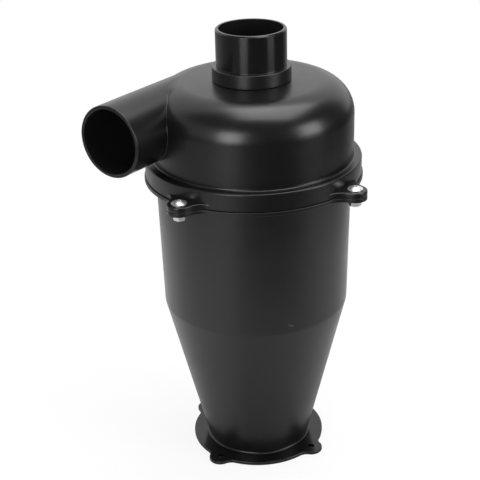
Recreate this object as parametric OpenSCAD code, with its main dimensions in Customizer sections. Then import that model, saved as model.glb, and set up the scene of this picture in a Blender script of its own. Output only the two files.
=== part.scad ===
// Cyclone dust separator with a tangential inlet, millimetres.
// Z is up and the base flange stands on the plane Z = 0, with its centre at the origin.
// The inlet pipe runs along Y, on the -X side, and its mouth faces -Y.

/* [Body] */
// Height from the seat of the base flange to the joint between body and cover
body_height = 223.5; // [205:0.5:242]
// Wall of the moulded body, measured level
body_wall = 2.6; // [2.2:0.1:3.2]
// Outside radius of the cone where it stands on the base flange
cone_foot_radius = 39.2; // [35:0.1:42]
// Height of the edge between cone and barrel
cone_top_height = 123.5; // [100:0.5:145]
// Outside radius of that edge
cone_top_radius = 68.7; // [65:0.1:69.6]
// Outside radius of the barrel at the joint
barrel_top_radius = 70.9; // [69.8:0.1:71.6]
// Height of the straight land inside the dust outlet
outlet_land = 6; // [4:0.5:12]
// Radius of the rounded foot between the cone and the base flange
foot_blend = 1.6; // [0.8:0.1:2.5]

/* [Base flange] */
// Radius of the base flange between its lugs
base_radius = 51; // [50:0.1:54]
// Thickness of the base flange
base_thickness = 2.6; // [2:0.1:4]
// Radius of the circle the base screw holes lie on
base_bolt_radius = 50.5; // [49:0.1:53]
// Radius of the rounded end of a base lug
base_lug_end = 8.5; // [7:0.1:10]
// Radius of the hollow curve on each side of a base lug
base_lug_blend = 8; // [5:0.5:12]
// Diameter of a base screw hole
base_hole_diameter = 5; // [4:0.1:6.5]

/* [Joint flanges] */
// How far the body's flange stands out past the skirt of the cover
flange_step = 0.9; // [0.4:0.1:2]
// Thickness of the flange on the body
flange_thickness = 2.8; // [2.4:0.1:4]
// Thickness of the lugs on the cover
cover_lug_thickness = 4.2; // [3:0.1:6]
// Gap between the flange of a screw head and the skirt
head_gap = 2.4; // [1.4:0.1:4]
// Radius of the rounded end of a joint lug
joint_lug_end = 8.5; // [7.5:0.1:10]
// Radius of the hollow curve on each side of a joint lug
joint_lug_blend = 16; // [10:0.5:24]

/* [Cover] */
// How far the skirt ring at the foot of the cover stands out past the head
skirt_step = 5.8; // [5:0.1:6.6]
// Height of the skirt ring
skirt_height = 13; // [10:0.5:16]
// Rounding of the skirt's upper edge
skirt_round = 1; // [0.6:0.1:2.2]
// Radius of the hollow curve between the skirt ring and the side of the head
skirt_blend = 1.4; // [0.8:0.1:2]
// Bevel on the skirt's lower edge, which shows as a dark line at the joint
joint_bevel = 0.5; // [0.2:0.1:1]
// Outside radius of the domed head
dome_radius = 72.4; // [72:0.1:74.6]
// Wall of the cover
cover_wall = 2.5; // [2.2:0.1:2.7]
// Height of the flat seat for the outlet collar above the joint
dome_height = 69.1; // [66:0.1:76]
// Radius of the rounded shoulder between the side and the top of the head
shoulder_radius = 24; // [20:0.5:27]
// Rise of the head's top from the shoulder up to the collar seat
crown_rise = 0.6; // [0.2:0.1:1.5]

/* [Inlet] */
// Outside diameter of the inlet pipe
inlet_diameter = 51; // [48:0.1:52]
// Wall of the inlet pipe
inlet_wall = 2.5; // [2.3:0.1:3]
// How far the top of the pipe's root lies below the top of the head's shoulder
inlet_drop = 0.5; // [0.3:0.1:2]
// Distance from the cyclone's centre plane to the mouth
inlet_length = 100; // [92:0.5:125]
// Length of the straight hose seat at the mouth, which ends clear of the head
inlet_seat = 28; // [20:0.5:28.5]
// How much slimmer the pipe and its bore are at the root than at the mouth, on the radius
inlet_taper = 0.4; // [0.3:0.05:0.6]
// How far the outer side of the pipe's root lies inside the side of the head
inlet_inset = 0.4; // [0.2:0.1:0.9]
// Bevel on the mouth's outer edge
mouth_bevel = 0.8; // [0.3:0.1:1.2]

/* [Outlet tube] */
// Outside diameter of the outlet tube
outlet_diameter = 50; // [47:0.1:51]
// Wall of the outlet tube
outlet_wall = 2.4; // [2:0.1:3]
// Height of the tube above its collar
outlet_rise = 26.4; // [20:0.1:45]
// Depth of the tube below the collar, down into the barrel
vortex_depth = 88; // [78:0.5:110]
// How far the collar stands out past the tube
collar_step = 3; // [2:0.1:4]
// Height of the collar
collar_height = 10; // [7:0.1:14]
// Bevel on the collar's edges
collar_bevel = 0.5; // [0.2:0.1:1]
// Bevel on the outer edge of the tube's top rim
rim_bevel = 0.9; // [0.4:0.1:1.4]

/* [Seal] */
// Width of the rubber seal ring
seal_width = 3; // [2:0.1:3.6]
// Height of the seal ring
seal_height = 1.3; // [0.9:0.1:1.5]

/* [Screws and nuts] */
// Nominal diameter of the joint screws
screw_diameter = 5; // [4:0.1:5.2]
// Length of a screw below its head
screw_length = 12; // [11.8:0.1:16]
// Diameter of the thin flange under the screw head
head_flange_diameter = 10.8; // [9.6:0.1:11.4]
// Thickness of that flange
head_flange_thickness = 0.7; // [0.5:0.1:1]
// Diameter of the domed part of the head
head_dome_diameter = 9; // [8:0.1:9.4]
// Height of the whole head
head_height = 2.3; // [1.9:0.1:3]
// Width across the flats of the socket in the head
socket_flats = 3; // [2.5:0.1:3.5]
// Depth of that socket
socket_depth = 1.3; // [1:0.1:1.6]
// Width of a nut across its flats
nut_flats = 8; // [7.6:0.1:9]
// Height of a nut
nut_height = 4.6; // [3.6:0.1:4.7]

/* [Clearances] */
// Gap around a screw in its hole, on the radius
screw_clearance = 0.25; // [0.1:0.05:0.5]
// Gap between the screw and the nut's thread, on the radius
thread_clearance = 0.05; // [0.03:0.01:0.1]
// Gap around the outlet tube in the cover, on the radius
tube_clearance = 0.1; // [0.05:0.05:0.3]
// Gap on each side of the seal ring in its groove
seal_clearance = 0.1; // [0.05:0.05:0.2]

/* [Hidden] */
$fn = 72;
skin = 0.05;
lug_angles = [0, 90, 180, 270];
dust_outlet_radius = cone_foot_radius - body_wall;
skirt_radius = dome_radius + skirt_step;
flange_radius = skirt_radius + flange_step;
joint_bolt_radius = skirt_radius + head_gap + head_flange_diameter / 2;
seal_radius = (dome_radius - cover_wall + skirt_radius - joint_bevel) / 2;
inlet_radius = inlet_diameter / 2;
inlet_bore = inlet_radius - inlet_wall;
inlet_root = inlet_radius - inlet_taper;
inlet_offset = dome_radius - inlet_inset - inlet_root;
inlet_seat_start = inlet_length - mouth_bevel - inlet_seat;
inlet_axis_z = body_height + dome_height - crown_rise - inlet_drop - inlet_root;
outlet_radius = outlet_diameter / 2;
outlet_bore = outlet_radius - outlet_wall;
collar_radius = outlet_radius + collar_step;
collar_seat_z = body_height + dome_height;
seat_radius = collar_radius + 0.4;
collar_top_z = collar_seat_z + collar_height;
rim_z = collar_top_z + outlet_rise;
vortex_z = collar_seat_z - vortex_depth;
lug_top_z = body_height + cover_lug_thickness;
flange_bottom_z = body_height - flange_thickness;
screw_hole_radius = screw_diameter / 2 + screw_clearance;
nut_bore = screw_diameter / 2 + thread_clearance;
groove_inner = seal_radius - seal_width / 2 - seal_clearance;
groove_outer = seal_radius + seal_width / 2 + seal_clearance;

// A quarter disc, for a rounded edge that turns from the side to the top
module quarter(radius, steps) {
    intersection() {
        circle(r = radius, $fn = steps);
        square([radius + 1, radius + 1]);
    }
}

// One lug along +X with its hollow curves, drawn flat
module lug_shape(ring, bolt, end, blend) {
    reach = ring + blend;
    side = end + blend;
    turn = acos((reach * reach + bolt * bolt - side * side) / (2 * reach * bolt));
    centre_x = reach * cos(turn);
    centre_y = reach * sin(turn);
    inner = ring * 0.93;
    difference() {
        polygon([
            [inner * cos(turn), -inner * sin(turn)],
            [centre_x, -centre_y],
            [bolt, 0],
            [centre_x, centre_y],
            [inner * cos(turn), inner * sin(turn)]
        ]);
        translate([centre_x, centre_y])
            circle(r = blend + skin);
        translate([centre_x, -centre_y])
            circle(r = blend + skin);
    }
    translate([bolt, 0])
        circle(r = end);
}

// Four lugs on a ring as one plate, without its middle
module lug_plate(ring, bolt, end, blend, thickness, bore) {
    linear_extrude(height = thickness)
        difference() {
            union() {
                circle(r = ring);
                for (angle = lug_angles)
                    rotate(angle)
                        lug_shape(ring, bolt, end, blend);
            }
            circle(r = bore);
        }
}

// Four round holes through the lugs
module lug_holes(bolt, radius, low, high) {
    for (angle = lug_angles)
        rotate(angle)
            translate([bolt, 0, low - 1])
                cylinder(h = high - low + 2, r = radius);
}

// Places a screw or nut on each joint lug
module at_each_joint_lug() {
    for (angle = lug_angles)
        rotate(angle)
            translate([joint_bolt_radius, 0, 0])
                children();
}

// Outline of the body in section, from the dust outlet to the joint
module body_section() {
    polygon([
        [dust_outlet_radius, 0],
        [base_radius - 1, 0],
        [base_radius - 1, base_thickness],
        [cone_foot_radius, base_thickness],
        [cone_top_radius, cone_top_height],
        [barrel_top_radius, body_height],
        [barrel_top_radius - body_wall, body_height],
        [cone_top_radius - body_wall, cone_top_height],
        [dust_outlet_radius, outlet_land]
    ]);
    // hollow curve at the foot of the cone
    translate([cone_foot_radius, base_thickness])
        difference() {
            translate([-0.5, -0.5])
                square([foot_blend + 0.5, foot_blend + 0.5]);
            translate([foot_blend, foot_blend - skin])
                circle(r = foot_blend, $fn = 32);
        }
}

// Lower half: base flange, cone, barrel and joint flange in one moulding
module body() {
    color([0.05, 0.05, 0.055])
        difference() {
            union() {
                rotate_extrude()
                    body_section();
                lug_plate(base_radius, base_bolt_radius, base_lug_end, base_lug_blend,
                    base_thickness, dust_outlet_radius);
                translate([0, 0, flange_bottom_z])
                    lug_plate(flange_radius, joint_bolt_radius, joint_lug_end, joint_lug_blend,
                        flange_thickness, barrel_top_radius - body_wall);
            }
            // groove for the seal ring
            translate([0, 0, body_height - seal_height])
                difference() {
                    cylinder(h = seal_height + 1, r = groove_outer);
                    translate([0, 0, -1])
                        cylinder(h = seal_height + 3, r = groove_inner);
                }
            lug_holes(base_bolt_radius, base_hole_diameter / 2, 0, base_thickness);
            lug_holes(joint_bolt_radius, screw_hole_radius, flange_bottom_z, body_height);
        }
}

// Section of the domed head, set inwards by the given wall
module dome_section(wall, low) {
    centre_r = dome_radius - shoulder_radius;
    centre_z = dome_height - crown_rise - shoulder_radius;
    arc = shoulder_radius - wall;
    polygon([
        [0, low],
        [dome_radius - wall, low],
        [dome_radius - wall, centre_z],
        [centre_r, centre_z],
        [centre_r, centre_z + arc],
        [seat_radius, dome_height - wall],
        [0, dome_height - wall]
    ]);
    translate([centre_r, centre_z])
        quarter(arc, 64);
}

// Section of the skirt ring with its rounded upper edge
module skirt_section() {
    inner = dome_radius - cover_wall - 2;
    polygon([
        [inner, 0],
        [skirt_radius - joint_bevel, 0],
        [skirt_radius, joint_bevel],
        [skirt_radius, skirt_height - skirt_round],
        [skirt_radius - skirt_round, skirt_height - skirt_round],
        [skirt_radius - skirt_round, skirt_height],
        [inner, skirt_height]
    ]);
    translate([skirt_radius - skirt_round, skirt_height - skirt_round])
        quarter(skirt_round, 20);
    // hollow curve between the ring and the side of the head
    translate([dome_radius, skirt_height])
        difference() {
            translate([-0.5, -0.5])
                square([skirt_blend + 0.5, skirt_blend + 0.5]);
            translate([skirt_blend - skin, skirt_blend - skin])
                circle(r = skirt_blend, $fn = 32);
        }
}

// Cover: skirt with lugs, domed head and tangential inlet in one moulding
module cover() {
    color([0.06, 0.06, 0.065])
        difference() {
            union() {
                translate([0, 0, body_height]) {
                    rotate_extrude()
                        dome_section(0, 0);
                    rotate_extrude()
                        skirt_section();
                    translate([0, 0, joint_bevel])
                        lug_plate(skirt_radius - 0.5, joint_bolt_radius, joint_lug_end,
                            joint_lug_blend, cover_lug_thickness - joint_bevel, dome_radius - 2);
                    lug_plate(skirt_radius - joint_bevel - 0.2, joint_bolt_radius, joint_lug_end,
                        joint_lug_blend, joint_bevel, dome_radius - 2);
                }
                // inlet pipe: tapered root, straight hose seat and bevelled mouth
                translate([-inlet_offset, 0, inlet_axis_z])
                    rotate([90, 0, 0]) {
                        cylinder(h = inlet_seat_start, r1 = inlet_root, r2 = inlet_radius);
                        translate([0, 0, inlet_seat_start])
                            cylinder(h = inlet_seat, r = inlet_radius);
                        translate([0, 0, inlet_length - mouth_bevel])
                            cylinder(h = mouth_bevel, r1 = inlet_radius, r2 = inlet_radius - mouth_bevel);
                    }
            }
            // hollow of the head
            translate([0, 0, body_height])
                rotate_extrude()
                    dome_section(cover_wall, -1);
            // bore of the inlet
            translate([-inlet_offset, 0, inlet_axis_z])
                rotate([90, 0, 0])
                    cylinder(h = inlet_length + 1, r1 = inlet_root - inlet_wall, r2 = inlet_bore);
            // hole for the outlet tube
            translate([0, 0, collar_seat_z - cover_wall - 3])
                cylinder(h = cover_wall + 6, r = outlet_radius + tube_clearance);
            lug_holes(joint_bolt_radius, screw_hole_radius, body_height, lug_top_z);
        }
}

// Outlet tube with its collar; below the collar it is the vortex finder
module outlet_tube() {
    color([0.03, 0.03, 0.035])
        rotate_extrude()
            polygon([
                [outlet_bore, vortex_z],
                [outlet_radius, vortex_z],
                [outlet_radius, collar_seat_z],
                [collar_radius - collar_bevel, collar_seat_z],
                [collar_radius, collar_seat_z + collar_bevel],
                [collar_radius, collar_top_z - collar_bevel],
                [collar_radius - collar_bevel, collar_top_z],
                [outlet_radius, collar_top_z],
                [outlet_radius, rim_z - rim_bevel],
                [outlet_radius - rim_bevel, rim_z],
                [outlet_bore, rim_z]
            ]);
}

// Flat rubber ring in the groove of the body's flange
module seal_ring() {
    color([0.1, 0.1, 0.1])
        translate([0, 0, body_height - seal_height])
            difference() {
                cylinder(h = seal_height, r = seal_radius + seal_width / 2);
                translate([0, 0, -1])
                    cylinder(h = seal_height + 2, r = seal_radius - seal_width / 2);
            }
}

// One screw, seated on Z = 0 with its shank down
module screw() {
    rise = head_height - head_flange_thickness;
    base = head_dome_diameter / 2;
    ball = (base * base + rise * rise) / (2 * rise);
    difference() {
        union() {
            cylinder(h = head_flange_thickness, r = head_flange_diameter / 2);
            translate([0, 0, head_flange_thickness])
                intersection() {
                    translate([0, 0, rise - ball])
                        sphere(r = ball);
                    cylinder(h = rise + 1, r = base + 1);
                }
            translate([0, 0, -screw_length + 0.5])
                cylinder(h = screw_length, r = screw_diameter / 2);
            translate([0, 0, -screw_length])
                cylinder(h = 0.5, r1 = screw_diameter / 2 - 0.5, r2 = screw_diameter / 2);
        }
        translate([0, 0, head_height - socket_depth])
            cylinder(h = socket_depth + 1, r = socket_flats / 2 / cos(30), $fn = 6);
    }
}

// The four joint screws
module screws() {
    color([0.75, 0.75, 0.76])
        at_each_joint_lug()
            translate([0, 0, lug_top_z])
                screw();
}

// One hexagon nut with turned corners, its top on Z = 0
module nut() {
    corner = nut_flats / 2 / cos(30);
    difference() {
        intersection() {
            translate([0, 0, -nut_height])
                cylinder(h = nut_height, r = corner, $fn = 6);
            translate([0, 0, -nut_height])
                cylinder(h = nut_height + corner, r1 = nut_flats / 2, r2 = nut_flats / 2
                    + (nut_height + corner) * 2);
            translate([0, 0, -nut_height - corner])
                cylinder(h = nut_height + corner, r1 = nut_flats / 2 + (nut_height + corner) * 2,
                    r2 = nut_flats / 2);
        }
        translate([0, 0, -nut_height - 1])
            cylinder(h = nut_height + 2, r = nut_bore);
    }
}

// The four nuts under the body's lugs
module nuts() {
    color([0.75, 0.75, 0.76])
        at_each_joint_lug()
            translate([0, 0, flange_bottom_z])
                nut();
}

body();
cover();
outlet_tube();
seal_ring();
screws();
nuts();
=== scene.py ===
"""Looks of a cyclone dust separator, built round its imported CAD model.

Sizes are in millimetres while a piece is being made, in the frame of the CAD model: Z is
up, the origin is the centre of the base flange, and the inlet pipe runs along Y on the -X
side. A finished piece is in metres, with its object at the origin.
"""

import logging
import math
from dataclasses import dataclass
from enum import Enum

import bmesh
import bpy
from mathutils import Matrix, Vector


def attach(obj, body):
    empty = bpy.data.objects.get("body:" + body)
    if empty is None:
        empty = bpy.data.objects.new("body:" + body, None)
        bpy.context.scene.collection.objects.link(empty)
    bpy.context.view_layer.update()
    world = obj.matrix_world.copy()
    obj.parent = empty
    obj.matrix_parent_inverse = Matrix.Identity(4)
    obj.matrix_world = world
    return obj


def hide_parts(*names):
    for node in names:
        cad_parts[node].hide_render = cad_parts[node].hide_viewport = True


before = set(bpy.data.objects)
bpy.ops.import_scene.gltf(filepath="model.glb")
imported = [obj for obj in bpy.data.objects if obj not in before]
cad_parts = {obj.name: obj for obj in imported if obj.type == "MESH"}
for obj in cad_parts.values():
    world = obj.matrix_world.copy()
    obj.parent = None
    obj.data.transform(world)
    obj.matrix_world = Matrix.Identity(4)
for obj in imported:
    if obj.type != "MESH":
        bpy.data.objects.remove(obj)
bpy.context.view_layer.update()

logging.basicConfig(level=logging.INFO, format="%(message)s")
log = logging.getLogger("separator")

MM = 0.001
FULL_TURN = 2.0 * math.pi
LATHE_STEPS = 192
LUG_ANGLES = (0.0, 90.0, 180.0, 270.0)
SMOOTH_BELOW = math.radians(32.0)

# Lengths in millimetres below which points are one point, and heights are level.
CLOSING_GAP = 1e-3
DOUBLES = 1e-4
DEGENERATE = 1e-5
LEVEL = 1e-6

# How far a cutting solid goes past what it cuts, in millimetres.
PAST = 1.0


class Plane(Enum):
    """The plane that a pen draws in: a section through the Z axis, or a plan seen from above."""

    SECTION = "section"
    PLAN = "plan"

    def place(self, point: tuple[float, float]) -> Vector:
        """Return a point of this plane as a point in space."""
        across, up = point
        return Vector((across, 0.0, up)) if self is Plane.SECTION else Vector((across, up, 0.0))

    def normal(self) -> Vector:
        """Return the axis that a positive arc turns about, from the first axis to the second."""
        return Vector((0.0, -1.0, 0.0)) if self is Plane.SECTION else Vector((0.0, 0.0, 1.0))


class Joining(Enum):
    """How one solid changes another."""

    ADD = "UNION"
    CUT = "DIFFERENCE"
    KEEP_COMMON = "INTERSECT"


class Pen:
    """Draws an outline with lines and spun arcs, from one starting vertex."""

    def __init__(self, start: tuple[float, float], plane: Plane = Plane.SECTION) -> None:
        """Put the pen down.

        Args:
            start: First point of the outline, in the pen's plane.
            plane: Plane that the outline lies in.
        """
        self.plane = plane
        self.mesh = bmesh.new()
        self.first = self.mesh.verts.new(plane.place(start))
        self.tip = self.first

    def line(self, *points: tuple[float, float]) -> "Pen":
        """Draw straight lines through the given points.

        Args:
            points: The points, in order.

        Returns:
            The pen itself, for the next stroke.
        """
        for point in points:
            grown = bmesh.ops.extrude_vert_indiv(self.mesh, verts=[self.tip])
            self.tip = grown["verts"][0]
            self.tip.co = self.plane.place(point)
        return self

    def arc(self, centre: tuple[float, float], degrees: float, steps: int) -> "Pen":
        """Turn the tip round a centre.

        Args:
            centre: Centre of the arc, in the pen's plane.
            degrees: Angle turned, positive from the plane's first axis to its second.
            steps: Number of straight pieces in the arc.

        Returns:
            The pen itself, for the next stroke.
        """
        swept = bmesh.ops.spin(
            self.mesh, geom=[self.tip], cent=self.plane.place(centre), axis=self.plane.normal(),
            dvec=(0.0, 0.0, 0.0), angle=math.radians(degrees), steps=steps,
            use_merge=False, use_normal_flip=False, use_duplicate=False)
        self.tip = [item for item in swept["geom_last"] if isinstance(item, bmesh.types.BMVert)][0]
        return self

    def close(self) -> "Pen":
        """Join the tip to the first vertex.

        Returns:
            The pen itself, for the next stroke.
        """
        if (self.tip.co - self.first.co).length < CLOSING_GAP:
            bmesh.ops.weld_verts(self.mesh, targetmap={self.tip: self.first})
        else:
            bmesh.ops.contextual_create(self.mesh, geom=[self.tip, self.first])
        return self

    def lathe(self, steps: int = LATHE_STEPS) -> bmesh.types.BMesh:
        """Turn the outline round the Z axis into a closed skin.

        Args:
            steps: Number of faces round the axis.

        Returns:
            The mesh, in millimetres.
        """
        bmesh.ops.spin(
            self.mesh, geom=self.mesh.verts[:] + self.mesh.edges[:], cent=(0.0, 0.0, 0.0),
            axis=(0.0, 0.0, 1.0), dvec=(0.0, 0.0, 0.0), angle=FULL_TURN, steps=steps,
            use_merge=True, use_normal_flip=False, use_duplicate=False)
        return cleaned(self.mesh)

    def slab(self, low: float, high: float, edge: float, edge_steps: int = 3) -> bmesh.types.BMesh:
        """Extrude the closed outline upwards and round its two rims.

        Args:
            low: Height of the underside.
            high: Height of the top.
            edge: Size of the rounding along both rims.
            edge_steps: Number of faces across that rounding.

        Returns:
            The mesh, in millimetres.
        """
        mesh = self.mesh
        bmesh.ops.contextual_create(mesh, geom=mesh.edges[:])
        bmesh.ops.translate(mesh, verts=mesh.verts[:], vec=(0.0, 0.0, low))
        raised = bmesh.ops.extrude_face_region(mesh, geom=mesh.faces[:])
        top = [item for item in raised["geom"] if isinstance(item, bmesh.types.BMVert)]
        bmesh.ops.translate(mesh, verts=top, vec=(0.0, 0.0, high - low))
        cleaned(mesh)
        rims = [e for e in mesh.edges if abs(e.verts[0].co.z - e.verts[1].co.z) < LEVEL]
        bmesh.ops.bevel(
            mesh, geom=rims, offset=edge, offset_type="OFFSET", segments=edge_steps,
            profile=0.5, affect="EDGES", material=-1, clamp_overlap=True)
        return mesh


def cleaned(mesh: bmesh.types.BMesh) -> bmesh.types.BMesh:
    """Merge the doubles of a mesh and turn its faces outwards.

    Args:
        mesh: Mesh to clean, in millimetres.

    Returns:
        The same mesh.
    """
    bmesh.ops.remove_doubles(mesh, verts=mesh.verts[:], dist=DOUBLES)
    bmesh.ops.dissolve_degenerate(mesh, edges=mesh.edges[:], dist=DEGENERATE)
    bmesh.ops.recalc_face_normals(mesh, faces=mesh.faces[:])
    return mesh


def cylinder(radius: float, low: float, high: float, sides: int = 48,
             top_radius: float | None = None) -> bmesh.types.BMesh:
    """Make an upright cylinder, cone or prism on the Z axis.

    Args:
        radius: Radius at the foot, to the corners of a prism.
        low: Height of the foot.
        high: Height of the top.
        sides: Number of sides.
        top_radius: Radius at the top, the same as at the foot if None.

    Returns:
        The mesh, in millimetres.
    """
    mesh = bmesh.new()
    bmesh.ops.create_cone(
        mesh, cap_ends=True, cap_tris=False, segments=sides, radius1=radius,
        radius2=radius if top_radius is None else top_radius, depth=high - low)
    bmesh.ops.translate(mesh, verts=mesh.verts[:], vec=(0.0, 0.0, (low + high) / 2.0))
    return mesh


def moved(mesh: bmesh.types.BMesh, shift: tuple[float, float, float] = (0.0, 0.0, 0.0),
          turn: float = 0.0, axis: str = "Z") -> bmesh.types.BMesh:
    """Turn a mesh about an axis through the origin and then shift it.

    Args:
        mesh: Mesh to place.
        shift: Distance along X, Y and Z.
        turn: Angle in degrees.
        axis: Axis of the turn.

    Returns:
        The same mesh.
    """
    place = Matrix.Translation(Vector(shift)) @ Matrix.Rotation(math.radians(turn), 4, axis)
    bmesh.ops.transform(mesh, matrix=place, verts=mesh.verts[:])
    return mesh


class Blank:
    """A solid in the making, in millimetres, which other solids are added to or cut from."""

    def __init__(self, name: str, mesh: bmesh.types.BMesh) -> None:
        """Start from a closed mesh.

        Args:
            name: Name of the finished piece.
            mesh: Its first solid, which is used up.
        """
        self.thing = self._as_object(name, mesh)

    @staticmethod
    def _as_object(name: str, mesh: bmesh.types.BMesh) -> bpy.types.Object:
        """Put a mesh into the scene.

        Args:
            name: Name of the object and of its mesh.
            mesh: The mesh, which is used up.

        Returns:
            The new object that holds it.
        """
        data = bpy.data.meshes.new(name)
        mesh.to_mesh(data)
        mesh.free()
        thing = bpy.data.objects.new(name, data)
        bpy.context.scene.collection.objects.link(thing)
        return thing

    def shape(self, joining: Joining, *meshes: bmesh.types.BMesh) -> "Blank":
        """Change the solid with other solids, one after the other.

        Args:
            joining: How each of them changes it.
            meshes: The other solids, which are used up.

        Returns:
            The blank itself, for the next step.
        """
        for mesh in meshes:
            tool = self._as_object("tool", mesh)
            step = self.thing.modifiers.new("step", "BOOLEAN")
            step.object, step.operation, step.solver = tool, joining.value, "EXACT"
            graph = bpy.context.evaluated_depsgraph_get()
            data = bpy.data.meshes.new_from_object(self.thing.evaluated_get(graph))
            self.thing.modifiers.clear()
            self.thing.data = data
            bpy.data.objects.remove(tool)
        return self

    def release(self) -> bmesh.types.BMesh:
        """Take the solid back out of the scene.

        Returns:
            Its mesh, in millimetres.
        """
        mesh = bmesh.new()
        mesh.from_mesh(self.thing.data)
        bpy.data.objects.remove(self.thing)
        return mesh

    def finish(self, node: str, material: bpy.types.Material) -> bpy.types.Object:
        """Turn the blank into a finished piece in metres that stands for a CAD node.

        Args:
            node: CAD node that the piece stands for.
            material: The material that it is dressed in.

        Returns:
            The finished object.
        """
        mesh = bmesh.new()
        mesh.from_mesh(self.thing.data)
        cleaned(mesh)
        bmesh.ops.scale(mesh, vec=(MM, MM, MM), verts=mesh.verts[:])
        mesh.to_mesh(self.thing.data)
        mesh.free()
        data = self.thing.data
        data.shade_smooth()
        data.set_sharp_from_angle(angle=SMOOTH_BELOW)
        data.materials.clear()
        data.materials.append(material)
        even = self.thing.modifiers.new("even_shading", "WEIGHTED_NORMAL")
        even.mode, even.weight, even.keep_sharp = "FACE_AREA", 60, True
        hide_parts(node)
        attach(self.thing, "root")
        return self.thing


# Materials


class Wire:
    """A shader socket that can be reckoned with; each sum adds its Math node."""

    def __init__(self, tree: bpy.types.NodeTree, socket: bpy.types.NodeSocket) -> None:
        """Hold a socket and the tree that it belongs to."""
        self.tree = tree
        self.socket = socket

    def _sum(self, operation: str, first: "Wire | float", second: "Wire | float") -> "Wire":
        """Add one Math node.

        Args:
            operation: Operation of the node.
            first: Its first value.
            second: Its second value.

        Returns:
            Its result.
        """
        node = self.tree.nodes.new("ShaderNodeMath")
        node.operation = operation
        for entry, value in zip(node.inputs, (first, second)):
            if isinstance(value, Wire):
                self.tree.links.new(value.socket, entry)
            else:
                entry.default_value = value
        return Wire(self.tree, node.outputs[0])

    def __add__(self, other: "Wire | float") -> "Wire":
        """Add."""
        return self._sum("ADD", self, other)

    __radd__ = __add__

    def __sub__(self, other: "Wire | float") -> "Wire":
        """Take the other from this."""
        return self._sum("SUBTRACT", self, other)

    def __rsub__(self, other: float) -> "Wire":
        """Take this from the other."""
        return self._sum("SUBTRACT", other, self)

    def __mul__(self, other: "Wire | float") -> "Wire":
        """Multiply."""
        return self._sum("MULTIPLY", self, other)

    __rmul__ = __mul__

    def __truediv__(self, other: "Wire | float") -> "Wire":
        """Divide this by the other."""
        return self._sum("DIVIDE", self, other)

    def __rtruediv__(self, other: float) -> "Wire":
        """Divide the other by this."""
        return self._sum("DIVIDE", other, self)

    def larger(self, other: "Wire | float") -> "Wire":
        """Return the larger of the two."""
        return self._sum("MAXIMUM", self, other)


Value = Wire | float | tuple


class Board:
    """The node tree of one material or of the world."""

    def __init__(self, tree: bpy.types.NodeTree) -> None:
        """Start with an empty tree."""
        self.tree = tree
        tree.nodes.clear()

    def add(self, kind: str, settings: dict | None = None,
            values: dict[str | int, Value] | None = None) -> bpy.types.Node:
        """Add any node.

        Args:
            kind: Type of the node, without its leading words.
            settings: Attributes, which are set before its sockets.
            values: What its sockets hold or are linked to, by name or number.

        Returns:
            The node.
        """
        node = self.tree.nodes.new("ShaderNode" + kind)
        for name, value in (settings or {}).items():
            setattr(node, name, value)
        for name, value in (values or {}).items():
            if isinstance(value, Wire):
                self.tree.links.new(value.socket, node.inputs[name])
            else:
                node.inputs[name].default_value = value
        return node

    def wire(self, kind: str, output: str | int, settings: dict | None = None,
             values: dict[str | int, Value] | None = None) -> Wire:
        """Add a node and return one of its outputs, ready to be reckoned with."""
        return Wire(self.tree, self.add(kind, settings, values).outputs[output])

    def place(self) -> Wire:
        """Return the object coordinates, in metres."""
        return self.wire("TexCoord", "Object")

    def split(self, vector: Wire) -> tuple[Wire, ...]:
        """Return the three parts of a vector."""
        return tuple(Wire(self.tree, part)
                     for part in self.add("SeparateXYZ", {}, {0: vector}).outputs)

    def length(self, *parts: Value) -> Wire:
        """Return the length of a vector, or of the vector that three parts make."""
        vector = parts[0] if len(parts) == 1 else self.wire(
            "CombineXYZ", 0, {}, dict(enumerate(parts)))
        return self.wire("VectorMath", "Value", {"operation": "LENGTH"}, {0: vector})

    def noise(self, scale: float, detail: float = 2.0, roughness: float = 0.5,
              stretch: tuple[float, float, float] = (1.0, 1.0, 1.0)) -> Wire:
        """Make noise on object coordinates.

        Args:
            scale: Number of cells a metre.
            detail: Number of finer layers.
            roughness: Strength of the finer layers.
            stretch: Scale along X, Y and Z.

        Returns:
            A number that wanders round a half.
        """
        spread = self.wire("Mapping", 0, {}, {"Vector": self.place(), "Scale": stretch})
        return self.wire("TexNoise", 0, {}, {
            "Vector": spread, "Scale": scale, "Detail": detail, "Roughness": roughness})

    def ramp(self, value: Wire, low: float, high: float) -> Wire:
        """Return 0 below the low value and 1 above the high one, smooth between them."""
        return self.wire("MapRange", 0, {"interpolation_type": "SMOOTHSTEP"}, {
            "Value": value, "From Min": low, "From Max": high})

    def blend(self, share: Wire, first: Value, second: Value) -> Wire:
        """Mix two colours.

        Args:
            share: Share of the second colour.
            first: First colour, a wire or red, green and blue.
            second: Second colour, in the same way.

        Returns:
            The mixed colour.
        """
        ends = [end if isinstance(end, Wire) else (*end, 1.0) for end in (first, second)]
        return self.wire("Mix", 2, {"data_type": "RGBA"}, {0: share, 6: ends[0], 7: ends[1]})

    def bump(self, height: Wire, depth: float, below: Wire | None = None) -> Wire:
        """Roughen a normal by a height.

        Args:
            height: Height from 0 to 1.
            depth: Depth in metres of the full height.
            below: A normal that this one is laid over.

        Returns:
            The roughened normal.
        """
        values = {"Height": height, "Distance": depth, "Strength": 1.0}
        if below is not None:
            values["Normal"] = below
        return self.wire("Bump", 0, {}, values)


def new_material(name: str) -> tuple[bpy.types.Material, Board]:
    """Start a material.

    Args:
        name: Name of the material.

    Returns:
        The material and the board of its nodes.
    """
    material = bpy.data.materials.new(name)
    material.use_nodes = True
    return material, Board(material.node_tree)


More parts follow.
